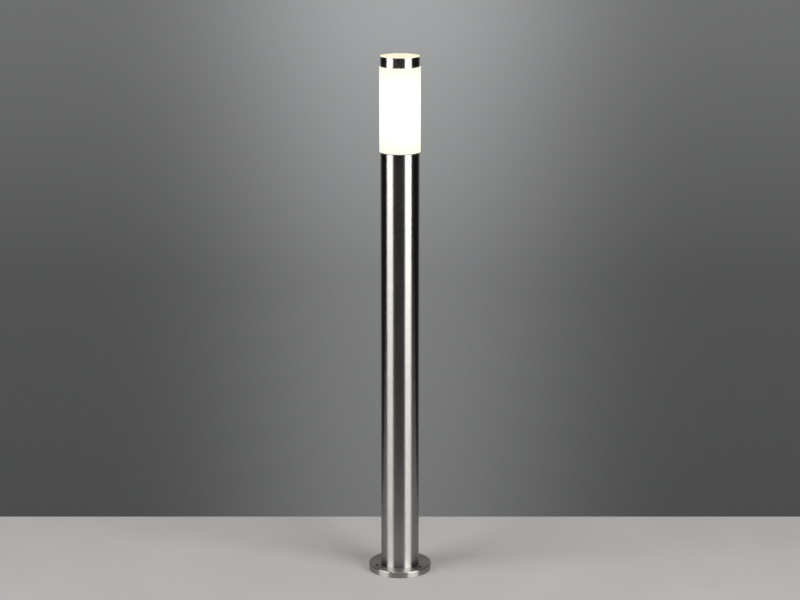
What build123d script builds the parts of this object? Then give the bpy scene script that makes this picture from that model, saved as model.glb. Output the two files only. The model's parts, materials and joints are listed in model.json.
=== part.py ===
"""Bollard light: steel tube on a round foot, with a lift-off opal head over a screw-in bulb.

Millimetres, +Z up, origin at the centre of the foot's underside, front towards -Y.
"""
from build123d import *
import math
import os

os.makedirs("parts", exist_ok=True)

# ---- driving dimensions -------------------------------------------------------------------------
total_height = 1040.0

tube_radius = 38.0
tube_wall = 1.5
tube_bottom = 2.0
tube_top = 852.0
tube_inner_radius = tube_radius - tube_wall

flange_radius = 62.5
flange_height = 12.0
flange_sheet = 2.0
flange_edge_radius = 1.0
plate_thickness = 4.0
plate_top = flange_height - flange_sheet
plate_bottom = plate_top - plate_thickness
fixing_circle_radius = 50.0
fixing_hole_radius = 3.25
fixing_count = 3
fixing_start_angle = 90.0
spacer_radius = 7.0
seal_gap = 0.5
weld_leg = 3.0

bracket_front = 18.0
bracket_thickness = 2.0
bracket_half_width = 30.3
bracket_bottom = 18.0
bracket_top = 136.0

terminal_pitch = 11.0
terminal_y = 9.0
terminal_bottom = 60.0
terminal_top = 80.0
terminal_front = 1.0

lead_radius = 3.2
core_radius = 1.3
core_half_spacing = 1.5
core_end_height = 76.0

carrier_bottom = 816.0
adapter_bottom = 820.0
adapter_floor_top = 824.0
adapter_top = 868.0
adapter_radius = 36.2
adapter_inner_radius = 33.0
o_ring_height = 859.5
gasket_thickness = 1.0

gland_y = 12.0
gland_thread_radius = 7.9
gland_hex_radius = 11.5
gland_bore_radius = 3.6

holder_bottom = 848.0
holder_top = 892.0
holder_radius = 21.0
holder_cavity_radius = 14.6
holder_floor = 860.0
thread_pitch = 3.6
thread_crest_height = 1.2

head_clearance = 0.2
diffuser_radius = 40.0
diffuser_inner_radius = 37.4
diffuser_bottom = tube_top + gasket_thickness + head_clearance
shoulder_top = 1018.0
shoulder_thickness = 2.5
neck_radius = 36.7
neck_inner_radius = 34.3
lens_thickness = 2.0
lens_radius = 38.3
lens_seal_thickness = 0.8
band_top = total_height - lens_thickness

bulb_tip = 865.6
cap_radius = 12.7
cap_thread_radius = 13.2
bulb_neck_radius = 13.2
globe_radius = 30.0
globe_centre = 941.0
globe_wall = 1.2
globe_bottom = 928.0

fit_gap = 0.1


# ---- shared helpers -----------------------------------------------------------------------------
def save(piece, label):
    """Label one finished sub-part and write it to its own STEP file."""
    piece.part.label = label
    export_step(piece.part, f"parts/{label}.step")


def facing_front(y):
    """Plane at depth y that faces the front; its own coordinates are X and Z."""
    return Plane.XZ.offset(-y)


def make_ring(label, outer_radius, inner_radius, bottom, top):
    """Plain round ring or sleeve about the lamp's axis."""
    with BuildPart() as ring:
        with BuildSketch(Plane.XY.offset(bottom)):
            Circle(outer_radius)
            Circle(inner_radius, mode=Mode.SUBTRACT)
        extrude(amount=top - bottom)
    save(ring, label)


def make_turned(label, outline):
    """Body of revolution about the lamp's axis, from (radius, height) points."""
    with BuildPart() as turned:
        with BuildSketch(Plane.XZ):
            with BuildLine():
                Polyline(*outline, close=True)
            make_face()
        revolve(axis=Axis.Z)
    save(turned, label)


def make_front_screws(label, places, *, tip, seat, shank_radius, head_radius, head_height):
    """Slotted screws driven from the front, one at each (x, z) place."""
    slot_width = 0.35 * head_radius
    slot_length = 3 * head_radius
    slot_depth = 0.5 * head_height
    with BuildPart() as screws:
        with BuildSketch(facing_front(tip)):
            with Locations(*places):
                Circle(shank_radius)
        extrude(amount=tip - seat)
        with BuildSketch(facing_front(seat)):
            with Locations(*places):
                Circle(head_radius)
        extrude(amount=head_height)
        with BuildSketch(facing_front(seat - head_height)):
            with Locations(*places):
                Rectangle(slot_width, slot_length)
        extrude(amount=-slot_depth, mode=Mode.SUBTRACT)
    save(screws, label)


def make_upright_screws(label, places, *, tip, seat, shank_radius, head_radius, head_height):
    """Socket screws driven along Z, one at each (x, y) place; the seat lies on the head's side."""
    way = 1 if seat > tip else -1
    socket_radius = 0.5 * head_radius
    socket_depth = 0.6 * head_height
    with BuildPart() as screws:
        with BuildSketch(Plane.XY.offset(tip)):
            with Locations(*places):
                Circle(shank_radius)
        extrude(amount=seat - tip)
        with BuildSketch(Plane.XY.offset(seat)):
            with Locations(*places):
                Circle(head_radius)
        extrude(amount=way * head_height)
        with BuildSketch(Plane.XY.offset(seat + way * head_height)):
            with Locations(*places):
                RegularPolygon(socket_radius, 6)
        extrude(amount=-way * socket_depth, mode=Mode.SUBTRACT)
    save(screws, label)


def bend_radii(points):
    """Largest arc that each corner's two runs allow, with a little straight left in every run."""
    share_of_run = 0.45
    corners = [Vector(*point) for point in points]
    radii = []
    for before, corner, after in zip(corners, corners[1:], corners[2:]):
        run_in = corner - before
        run_out = after - corner
        half_turn = math.radians(run_in.get_angle(run_out)) / 2
        radii.append(share_of_run * min(run_in.length, run_out.length) / math.tan(half_turn))
    return radii


def make_cord(label, points, radius):
    """Round cord along straight runs joined by tangent arcs."""
    radii = bend_radii(points)
    with BuildPart() as cord:
        with BuildLine() as route:
            FilletPolyline(*points, radius=radii)
        with BuildSketch(Plane(origin=points[0], z_dir=Vector(*points[1]) - Vector(*points[0]))):
            Circle(radius)
        sweep(path=route.wires()[0])
    length = route.wires()[0].length
    ratio = cord.part.volume / (math.pi * radius**2 * length)
    print(f"{label}: length {length:.1f}, volume ratio {ratio:.4f}, smallest arc {min(radii):.1f}")
    save(cord, label)


# ---- foot ---------------------------------------------------------------------------------------
def make_foot():
    make_ring("pole_tube", tube_radius, tube_inner_radius, tube_bottom, tube_top)

    flange_hole_radius = tube_radius + fit_gap
    skirt_inner_radius = flange_radius - flange_sheet
    with BuildPart() as base_flange:
        with BuildSketch(Plane.XY):
            Circle(flange_radius)
        extrude(amount=flange_height)
        rim = base_flange.edges().group_by(Axis.Z)[-1]
        fillet(rim, radius=flange_edge_radius)
        with BuildSketch(Plane.XY):
            Circle(skirt_inner_radius)
        extrude(amount=plate_top, mode=Mode.SUBTRACT)
        with BuildSketch(Plane.XY):
            Circle(flange_hole_radius)
            with PolarLocations(fixing_circle_radius, fixing_count, start_angle=fixing_start_angle):
                Circle(fixing_hole_radius)
        extrude(amount=flange_height, mode=Mode.SUBTRACT)
    save(base_flange, "base_flange")

    plate_radius = skirt_inner_radius - 2 * fit_gap
    with BuildPart() as base_plate:
        with BuildSketch(Plane.XY.offset(plate_bottom)):
            Circle(plate_radius)
            Circle(flange_hole_radius, mode=Mode.SUBTRACT)
            with PolarLocations(fixing_circle_radius, fixing_count, start_angle=fixing_start_angle):
                Circle(fixing_hole_radius, mode=Mode.SUBTRACT)
        extrude(amount=plate_thickness)
    save(base_plate, "base_plate")

    make_turned("weld_bead", [
        (tube_radius, plate_bottom),
        (tube_radius + weld_leg, plate_bottom),
        (tube_radius, plate_bottom - weld_leg),
    ])

    with BuildPart() as floor_spacers:
        with BuildSketch(Plane.XY):
            with PolarLocations(fixing_circle_radius, fixing_count, start_angle=fixing_start_angle):
                Circle(spacer_radius)
                Circle(fixing_hole_radius, mode=Mode.SUBTRACT)
        extrude(amount=plate_bottom)
    save(floor_spacers, "floor_spacers")

    seal_inner_radius = fixing_circle_radius + spacer_radius + seal_gap
    make_ring("base_seal", plate_radius, seal_inner_radius, 0, plate_bottom)


# ---- connections inside the tube ----------------------------------------------------------------
clamp_height = 36.0
clamp_screw_x = 11.0
clamp_screw_places = [(-clamp_screw_x, clamp_height), (clamp_screw_x, clamp_height)]
terminal_centres = [-terminal_pitch, 0, terminal_pitch]
terminal_middle = (terminal_bottom + terminal_top) / 2
terminal_screw_rise = 5.0
terminal_screw_heights = [terminal_middle - terminal_screw_rise, terminal_middle + terminal_screw_rise]
fixing_screw_places = [(-terminal_pitch / 2, terminal_middle), (terminal_pitch / 2, terminal_middle)]
earth_place = (20, 122)
small_screw_radius = 1.5
bracket_back = bracket_front + bracket_thickness


def make_connection_bracket():
    tapped = clamp_screw_places + fixing_screw_places + [earth_place]
    corner_radius = 4
    with BuildPart() as inner_bracket:
        with BuildSketch(facing_front(bracket_back)):
            with Locations((0, (bracket_bottom + bracket_top) / 2)):
                RectangleRounded(2 * bracket_half_width, bracket_top - bracket_bottom, corner_radius)
            with Locations(*tapped):
                Circle(small_screw_radius, mode=Mode.SUBTRACT)
        extrude(amount=bracket_thickness)
    save(inner_bracket, "inner_bracket")


def make_terminals():
    sleeve_radius = 3.0
    sleeve_bore_radius = 1.6
    sleeve_margin = 1.0
    block_half_width = 18.0
    block_corner_radius = 1.5
    screw_radius = 1.25
    screw_recess = 0.5
    slot_width = 0.6
    slot_length = 3.0
    slot_depth = 0.8
    screw_places = [(x, z) for x in terminal_centres for z in terminal_screw_heights]
    sleeve_places = [(x, terminal_y) for x in terminal_centres]
    block_depth = bracket_front - terminal_front

    with BuildPart() as terminal_block:
        with BuildSketch(Plane.XY.offset(terminal_bottom)):
            with Locations((0, terminal_front + block_depth / 2)):
                RectangleRounded(2 * block_half_width, block_depth, block_corner_radius)
            with Locations(*sleeve_places):
                Circle(sleeve_radius + fit_gap, mode=Mode.SUBTRACT)
        extrude(amount=terminal_top - terminal_bottom)
        with BuildSketch(facing_front(terminal_y)):
            with Locations(*screw_places):
                Circle(screw_radius + 2 * fit_gap)
        extrude(amount=terminal_y - terminal_front, mode=Mode.SUBTRACT)
        with BuildSketch(facing_front(bracket_front)):
            with Locations(*fixing_screw_places):
                Circle(small_screw_radius + fit_gap)
        extrude(amount=block_depth, mode=Mode.SUBTRACT)
    save(terminal_block, "terminal_block")

    with BuildPart() as terminal_sleeves:
        with BuildSketch(Plane.XY.offset(terminal_bottom + sleeve_margin)):
            with Locations(*sleeve_places):
                Circle(sleeve_radius)
                Circle(sleeve_bore_radius, mode=Mode.SUBTRACT)
        extrude(amount=terminal_top - terminal_bottom - 2 * sleeve_margin)
        with BuildSketch(facing_front(terminal_y)):
            with Locations(*screw_places):
                Circle(screw_radius + fit_gap)
        extrude(amount=sleeve_radius, mode=Mode.SUBTRACT)
    save(terminal_sleeves, "terminal_sleeves")

    screw_tip = terminal_y - core_radius - fit_gap
    screw_face = terminal_front + screw_recess
    with BuildPart() as terminal_screws:
        with BuildSketch(facing_front(screw_tip)):
            with Locations(*screw_places):
                Circle(screw_radius)
        extrude(amount=screw_tip - screw_face)
        with BuildSketch(facing_front(screw_face)):
            with Locations(*screw_places):
                Rectangle(slot_width, slot_length)
        extrude(amount=-slot_depth, mode=Mode.SUBTRACT)
    save(terminal_screws, "terminal_screws")

    make_front_screws("terminal_fixing_screws", fixing_screw_places, tip=bracket_back + 1,
                      seat=terminal_front, shank_radius=small_screw_radius, head_radius=2.2, head_height=1.6)


def make_earth_point():
    tag_thickness = 1.0
    washer_thickness = 0.8
    tag_radius = 4.0
    tongue_width = 3.0
    tongue_bottom = 112.0
    barrel_bottom = 106.0
    barrel_radius = 2.1
    barrel_y = 15.6
    tag_face = bracket_front - tag_thickness
    x, z = earth_place

    with BuildPart() as earth_tag:
        with BuildSketch(facing_front(bracket_front)):
            with Locations(earth_place):
                Circle(tag_radius)
            with Locations((x, (z + tongue_bottom) / 2)):
                Rectangle(tongue_width, z - tongue_bottom)
            with Locations(earth_place):
                Circle(small_screw_radius + fit_gap, mode=Mode.SUBTRACT)
        extrude(amount=tag_thickness)
        with BuildSketch(Plane.XY.offset(barrel_bottom)):
            with Locations((x, barrel_y)):
                Circle(barrel_radius)
        extrude(amount=tongue_bottom + 1 - barrel_bottom)
        with BuildSketch(Plane.XY.offset(barrel_bottom)):
            with Locations((x, barrel_y)):
                Circle(core_radius + fit_gap / 2)
        extrude(amount=tongue_bottom - barrel_bottom, mode=Mode.SUBTRACT)
    save(earth_tag, "earth_tag")

    with BuildPart() as earth_washer:
        with BuildSketch(facing_front(tag_face)):
            with Locations(earth_place):
                Circle(tag_radius)
                Circle(small_screw_radius + fit_gap, mode=Mode.SUBTRACT)
        extrude(amount=washer_thickness)
    save(earth_washer, "earth_washer")

    make_front_screws("earth_screw", [earth_place], tip=bracket_back + 2, seat=tag_face - washer_thickness,
                      shank_radius=small_screw_radius, head_radius=3.4, head_height=2.2)

    make_cord("earth_core", [
        (terminal_pitch, terminal_y, core_end_height), (terminal_pitch, terminal_y, 88),
        (x, barrel_y, 99), (x, barrel_y, tongue_bottom - 1),
    ], core_radius)


def make_cable_clamp():
    arch_radius = 7.5
    arch_inner_radius = 5.5
    ear_thickness = 2.0
    ear_half_length = 15.0
    clamp_width = 8.0
    with BuildPart() as cable_clamp:
        with BuildSketch(Plane.XY.offset(clamp_height - clamp_width / 2)):
            with Locations((0, bracket_front - ear_thickness / 2)):
                Rectangle(2 * ear_half_length, ear_thickness)
            with Locations((0, bracket_front)):
                Circle(arch_radius)
                Circle(arch_inner_radius, mode=Mode.SUBTRACT)
            with Locations((0, bracket_front + arch_radius / 2)):
                Rectangle(3 * arch_radius, arch_radius, mode=Mode.SUBTRACT)
        extrude(amount=clamp_width)
        with BuildSketch(facing_front(bracket_front)):
            with Locations(*clamp_screw_places):
                Circle(small_screw_radius + fit_gap)
        extrude(amount=ear_thickness, mode=Mode.SUBTRACT)
    save(cable_clamp, "cable_clamp")

    make_front_screws("clamp_screws", clamp_screw_places, tip=bracket_back + 1,
                      seat=bracket_front - ear_thickness, shank_radius=small_screw_radius,
                      head_radius=2.8, head_height=1.8)


def make_leads():
    lead_x = -terminal_pitch / 2
    lead_bottom = 128.0
    lead_top = gland_top
    make_cord("inner_lead", [
        (lead_x, terminal_y, lead_bottom), (lead_x, terminal_y, 175), (-9, 12, 262), (-12.5, 16, 345),
        (-11, 18.5, 430), (-5.5, 17.5, 516), (1.5, 14, 600), (5, 11, 682), (3.5, 11, 745),
        (0, gland_y, 782), (0, gland_y, lead_top),
    ], lead_radius)

    for label, side, terminal_x in (("live_core_lower", -1, -terminal_pitch), ("neutral_core_lower", 1, 0)):
        start_x = lead_x + side * core_half_spacing
        make_cord(label, [
            (start_x, terminal_y, lead_bottom), (start_x, terminal_y, 116),
            (terminal_x, terminal_y, 95), (terminal_x, terminal_y, core_end_height),
        ], core_radius)

    for label, side in (("live_core_upper", -1), ("neutral_core_upper", 1)):
        start_x = side * core_half_spacing
        end_x = side * holder_terminal_x
        make_cord(label, [
            (start_x, gland_y, lead_top), (start_x, gland_y, 834),
            (end_x, holder_terminal_y, 841), (end_x, holder_terminal_y, 846.5),
        ], core_radius)


# ---- carrier, adapter and gland -----------------------------------------------------------------
adapter_screw_circle_radius = 29.0
adapter_screw_count = 3
adapter_screw_start = 30.0
adapter_edge_chamfer = 0.8
gland_bottom = 801.0
gland_top = 831.0


def polar_places(radius, count, start_angle):
    """Evenly spaced (x, y) places on a circle about the lamp's axis."""
    angles = [math.radians(start_angle + 360 * index / count) for index in range(count)]
    return [(radius * math.cos(angle), radius * math.sin(angle)) for angle in angles]


def make_adapter():
    carrier_inner_radius = 24.0
    screw_shank_radius = 2.0
    screw_places = polar_places(adapter_screw_circle_radius, adapter_screw_count, adapter_screw_start)
    with BuildPart() as carrier_ring:
        with BuildSketch(Plane.XY.offset(carrier_bottom)):
            Circle(tube_inner_radius)
            Circle(carrier_inner_radius, mode=Mode.SUBTRACT)
            with Locations(*screw_places):
                Circle(screw_shank_radius, mode=Mode.SUBTRACT)
        extrude(amount=adapter_bottom - carrier_bottom)
    save(carrier_ring, "carrier_ring")

    groove_half_width = 1.5
    groove_radius = 34.7
    with BuildPart() as adapter:
        with BuildSketch(Plane.XY.offset(adapter_bottom)):
            Circle(adapter_radius)
        extrude(amount=adapter_top - adapter_bottom)
        with BuildSketch(Plane.XY.offset(adapter_floor_top)):
            Circle(adapter_inner_radius)
        extrude(amount=adapter_top - adapter_floor_top, mode=Mode.SUBTRACT)
        with BuildSketch(Plane.XY.offset(o_ring_height - groove_half_width)):
            Circle(adapter_radius + 1)
            Circle(groove_radius, mode=Mode.SUBTRACT)
        extrude(amount=2 * groove_half_width, mode=Mode.SUBTRACT)
        with BuildSketch(Plane.XY.offset(adapter_bottom)):
            with Locations((0, gland_y)):
                Circle(gland_thread_radius + fit_gap)
            with Locations(*screw_places):
                Circle(screw_shank_radius + fit_gap)
            with Locations(*bracket_screw_places):
                Circle(small_screw_radius)
        extrude(amount=adapter_floor_top - adapter_bottom, mode=Mode.SUBTRACT)
        top_edges = adapter.edges().group_by(Axis.Z)[-1]
        chamfer(top_edges, length=adapter_edge_chamfer)
    save(adapter, "adapter")

    make_upright_screws("adapter_screws", screw_places, tip=carrier_bottom - 1, seat=adapter_floor_top,
                        shank_radius=screw_shank_radius, head_radius=3.5, head_height=2.5)

    section_radius = 1.2
    with BuildPart() as adapter_o_ring:
        with BuildSketch(Plane.XZ):
            with Locations((groove_radius + section_radius + fit_gap / 2, o_ring_height)):
                Circle(section_radius)
        revolve(axis=Axis.Z)
    save(adapter_o_ring, "adapter_o_ring")

    make_ring("head_gasket", tube_radius, adapter_radius + fit_gap, tube_top, tube_top + gasket_thickness)


def make_gland():
    flange_thickness = 5.0
    flange_bottom = adapter_bottom - flange_thickness
    sleeve_length = 9.0
    sleeve_bottom = flange_bottom - sleeve_length
    sleeve_radius = 7.6
    sleeve_bore = 6.0
    cap_floor_thickness = 3.0
    cap_floor = gland_bottom + cap_floor_thickness
    cap_top = flange_bottom - 1
    nut_thickness = 4.0
    with BuildPart() as gland_body:
        with BuildSketch(Plane.XY.offset(sleeve_bottom)):
            with Locations((0, gland_y)):
                Circle(sleeve_radius)
                Circle(sleeve_bore, mode=Mode.SUBTRACT)
        extrude(amount=flange_bottom - sleeve_bottom)
        with BuildSketch(Plane.XY.offset(flange_bottom)):
            with Locations((0, gland_y)):
                RegularPolygon(gland_hex_radius, 6)
                Circle(gland_bore_radius, mode=Mode.SUBTRACT)
        extrude(amount=adapter_bottom - flange_bottom)
        with BuildSketch(Plane.XY.offset(adapter_bottom)):
            with Locations((0, gland_y)):
                Circle(gland_thread_radius)
                Circle(gland_bore_radius, mode=Mode.SUBTRACT)
        extrude(amount=gland_top - adapter_bottom)
    save(gland_body, "gland_body")

    with BuildPart() as gland_cap:
        with BuildSketch(Plane.XY.offset(gland_bottom)):
            with Locations((0, gland_y)):
                RegularPolygon(gland_hex_radius, 6)
        extrude(amount=cap_top - gland_bottom)
        with BuildSketch(Plane.XY.offset(cap_floor)):
            with Locations((0, gland_y)):
                Circle(sleeve_radius + fit_gap)
        extrude(amount=flange_bottom - cap_floor, mode=Mode.SUBTRACT)
        with BuildSketch(Plane.XY.offset(gland_bottom)):
            with Locations((0, gland_y)):
                Circle(gland_bore_radius)
        extrude(amount=cap_floor - gland_bottom, mode=Mode.SUBTRACT)
    save(gland_cap, "gland_cap")

    with BuildPart() as gland_seal:
        with BuildSketch(Plane.XY.offset(cap_floor)):
            with Locations((0, gland_y)):
                Circle(sleeve_bore - fit_gap)
                Circle(lead_radius + fit_gap / 2, mode=Mode.SUBTRACT)
        extrude(amount=flange_bottom - cap_floor)
    save(gland_seal, "gland_seal")

    with BuildPart() as gland_nut:
        with BuildSketch(Plane.XY.offset(adapter_floor_top)):
            with Locations((0, gland_y)):
                RegularPolygon(gland_hex_radius, 6)
                Circle(gland_thread_radius + fit_gap, mode=Mode.SUBTRACT)
        extrude(amount=nut_thickness)
    save(gland_nut, "gland_nut")


# ---- lampholder ---------------------------------------------------------------------------------
holder_terminal_x = 6.5
holder_terminal_y = 10.2
strap_sheet = 2.0
strap_half_length = 20.0
strap_half_width = 5.0
foot_end = 28.0
bracket_screw_places = [(-24, 0), (24, 0)]
holder_screw_places = [(-10, 0), (10, 0)]
holder_screw_depth = 8.0


def make_lampholder_bracket():
    strap_top = holder_bottom
    with BuildPart() as lampholder_bracket:
        with BuildSketch(Plane.XZ.offset(-strap_half_width)):
            with BuildLine():
                Polyline(
                    (-foot_end, adapter_floor_top),
                    (-strap_half_length + strap_sheet, adapter_floor_top),
                    (-strap_half_length + strap_sheet, strap_top - strap_sheet),
                    (strap_half_length - strap_sheet, strap_top - strap_sheet),
                    (strap_half_length - strap_sheet, adapter_floor_top),
                    (foot_end, adapter_floor_top),
                    (foot_end, adapter_floor_top + strap_sheet),
                    (strap_half_length, adapter_floor_top + strap_sheet),
                    (strap_half_length, strap_top),
                    (-strap_half_length, strap_top),
                    (-strap_half_length, adapter_floor_top + strap_sheet),
                    (-foot_end, adapter_floor_top + strap_sheet),
                    close=True,
                )
            make_face()
        extrude(amount=2 * strap_half_width)
        with BuildSketch(Plane.XY.offset(adapter_floor_top)):
            with Locations(*bracket_screw_places, *holder_screw_places):
                Circle(small_screw_radius + fit_gap)
        extrude(amount=strap_top - adapter_floor_top, mode=Mode.SUBTRACT)
    save(lampholder_bracket, "lampholder_bracket")

    make_upright_screws("bracket_screws", bracket_screw_places, tip=adapter_bottom + 0.5,
                        seat=adapter_floor_top + strap_sheet, shank_radius=small_screw_radius,
                        head_radius=2.8, head_height=2.0)
    make_upright_screws("lampholder_screws", holder_screw_places, tip=holder_bottom + holder_screw_depth,
                        seat=strap_top - strap_sheet, shank_radius=small_screw_radius,
                        head_radius=2.8, head_height=2.0)


def make_lampholder():
    rivet_radius = 1.5
    terminal_half = 3.9
    terminal_height = 5.5
    screw_height = holder_bottom - 3
    slot_width = 0.6
    slot_length = 4.0
    slot_depth = 0.8
    terminal_places = [(-holder_terminal_x, holder_terminal_y), (holder_terminal_x, holder_terminal_y)]
    waist_radius = 18.0
    waist_slope = 3.0
    lip_height = 4.0
    lip_radius = waist_radius + 1.5
    lip_bottom = holder_top - lip_height
    screw_places = [(x, screw_height) for x, _ in terminal_places]
    with BuildPart() as lampholder_body:
        with BuildSketch(Plane.XZ):
            with BuildLine():
                Polyline(
                    (0, holder_bottom), (holder_radius, holder_bottom), (holder_radius, holder_floor),
                    (waist_radius, holder_floor + waist_slope), (waist_radius, lip_bottom - 1),
                    (lip_radius, lip_bottom), (lip_radius, holder_top),
                    (holder_cavity_radius, holder_top), (holder_cavity_radius, holder_floor),
                    (0, holder_floor), close=True,
                )
            make_face()
        revolve(axis=Axis.Z)
        with BuildSketch(Plane.XY.offset(holder_bottom)):
            with Locations(*terminal_places):
                Circle(rivet_radius + fit_gap)
        extrude(amount=holder_floor - holder_bottom, mode=Mode.SUBTRACT)
        with BuildSketch(Plane.XY.offset(holder_bottom)):
            with Locations(*holder_screw_places):
                Circle(small_screw_radius)
        extrude(amount=holder_screw_depth + 1, mode=Mode.SUBTRACT)
    save(lampholder_body, "lampholder_body")

    with BuildPart() as lampholder_terminals:
        with BuildSketch(Plane.XY.offset(holder_bottom - terminal_height)):
            with Locations(*terminal_places):
                Rectangle(2 * terminal_half, 2 * terminal_half)
        extrude(amount=terminal_height)
        with BuildSketch(Plane.XY.offset(holder_bottom)):
            with Locations(*terminal_places):
                Circle(rivet_radius)
        extrude(amount=holder_floor - holder_bottom)
        with BuildSketch(Plane.XY.offset(holder_bottom - terminal_height)):
            with Locations(*terminal_places):
                Circle(core_radius + fit_gap)
        extrude(amount=terminal_height - 1, mode=Mode.SUBTRACT)
        with BuildSketch(facing_front(holder_terminal_y + terminal_half)):
            with Locations(*screw_places):
                Circle(rivet_radius)
        extrude(amount=terminal_half, mode=Mode.SUBTRACT)
    save(lampholder_terminals, "lampholder_terminals")

    screw_tip = holder_terminal_y + core_radius + fit_gap
    screw_end = holder_terminal_y + terminal_half + 1
    with BuildPart() as lampholder_terminal_screws:
        with BuildSketch(facing_front(screw_end)):
            with Locations(*screw_places):
                Circle(rivet_radius - fit_gap)
        extrude(amount=screw_end - screw_tip)
        with BuildSketch(facing_front(screw_end)):
            with Locations(*screw_places):
                Rectangle(slot_width, slot_length)
        extrude(amount=slot_depth, mode=Mode.SUBTRACT)
    save(lampholder_terminal_screws, "lampholder_terminal_screws")


def make_lampholder_contacts():
    shell_bottom = 868.0
    shell_top = 890.0
    shell_radius = 14.4
    shell_inner_radius = 13.9
    thread_crest_radius = 13.5
    thread_turns = 5
    thread_start = 2.0
    with BuildPart() as lampholder_shell:
        with BuildSketch(Plane.XY.offset(shell_bottom)):
            Circle(shell_radius)
            Circle(shell_inner_radius, mode=Mode.SUBTRACT)
        extrude(amount=shell_top - shell_bottom)
        for turn in range(thread_turns):
            crest_bottom = shell_bottom + thread_start + turn * thread_pitch
            with BuildSketch(Plane.XY.offset(crest_bottom)):
                Circle(shell_radius - fit_gap)
                Circle(thread_crest_radius, mode=Mode.SUBTRACT)
            extrude(amount=thread_crest_height)
    save(lampholder_shell, "lampholder_shell")

    contact_radius = 5.0
    contact_sheet = 1.2
    button_radius = contact_radius - 2
    with BuildPart() as centre_contact:
        with BuildSketch(Plane.XY.offset(holder_floor)):
            Circle(contact_radius)
        extrude(amount=contact_sheet)
        with BuildSketch(Plane.XY.offset(holder_floor)):
            Circle(button_radius)
        extrude(amount=bulb_tip - 2 * head_clearance - holder_floor)
        dome = centre_contact.edges().group_by(Axis.Z)[-1]
        fillet(dome, radius=0.4 * button_radius)
    save(centre_contact, "centre_contact")

    finger_thickness = 1.6
    finger_width = 4.0
    with BuildPart() as side_contact:
        with BuildSketch(Plane.XY.offset(holder_floor)):
            with Locations((shell_radius - 1, 0)):
                Rectangle(finger_thickness, finger_width)
        extrude(amount=shell_bottom - holder_floor)
    save(side_contact, "side_contact")


# ---- bulb ---------------------------------------------------------------------------------------
insulator_bottom = 868.0
cap_bottom = 871.0
cap_top = 890.0
neck_top = 894.0


def make_bulb_cap():
    contact_tip_radius = 3.0
    contact_radius = 4.6
    make_turned("bulb_contact", [
        (0, bulb_tip), (contact_tip_radius, bulb_tip), (contact_radius, bulb_tip + 1),
        (contact_radius, insulator_bottom), (0, insulator_bottom),
    ])

    insulator_low_radius = 6.0
    insulator_high_radius = 11.5
    make_turned("bulb_insulator", [
        (0, insulator_bottom), (insulator_low_radius, insulator_bottom),
        (insulator_high_radius, cap_bottom), (0, cap_bottom),
    ])

    cap_wall = 0.7
    thread_turns = 4
    thread_start = 1.8
    with BuildPart() as bulb_cap:
        with BuildSketch(Plane.XY.offset(cap_bottom)):
            Circle(cap_radius)
            Circle(cap_radius - cap_wall, mode=Mode.SUBTRACT)
        extrude(amount=cap_top - cap_bottom)
        for turn in range(thread_turns):
            crest_bottom = cap_bottom + thread_start + turn * thread_pitch
            with BuildSketch(Plane.XY.offset(crest_bottom)):
                Circle(cap_thread_radius)
                Circle(cap_radius - cap_wall / 2, mode=Mode.SUBTRACT)
            extrude(amount=thread_crest_height)
    save(bulb_cap, "bulb_cap")


def make_bulb_body():
    housing_wall = 1.3
    rise = globe_centre - globe_bottom
    rim_radius = math.sqrt(globe_radius**2 - rise**2)
    inner_neck_radius = bulb_neck_radius - housing_wall
    flare_mid = (21.6, 909.0)
    inner_flare_mid = (flare_mid[0] - housing_wall, flare_mid[1] + housing_wall)
    with BuildPart() as bulb_housing:
        with BuildSketch(Plane.XZ):
            with BuildLine():
                Polyline((inner_neck_radius, cap_top), (bulb_neck_radius, cap_top),
                         (bulb_neck_radius, neck_top))
                ThreePointArc((bulb_neck_radius, neck_top), flare_mid, (rim_radius, globe_bottom))
                Line((rim_radius, globe_bottom), (rim_radius - housing_wall, globe_bottom))
                ThreePointArc((rim_radius - housing_wall, globe_bottom), inner_flare_mid,
                              (inner_neck_radius, neck_top))
                Line((inner_neck_radius, neck_top), (inner_neck_radius, cap_top))
            make_face()
        revolve(axis=Axis.Z)
    save(bulb_housing, "bulb_housing")

    with BuildPart() as bulb_envelope:
        Sphere(globe_radius)
        Sphere(globe_radius - globe_wall, mode=Mode.SUBTRACT)
        with BuildSketch(Plane.XY.offset(-rise)):
            Circle(globe_radius + 1)
        extrude(amount=-globe_radius, mode=Mode.SUBTRACT)
    bulb_envelope.part = bulb_envelope.part.moved(Location((0, 0, globe_centre)))
    save(bulb_envelope, "bulb_envelope")


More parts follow.
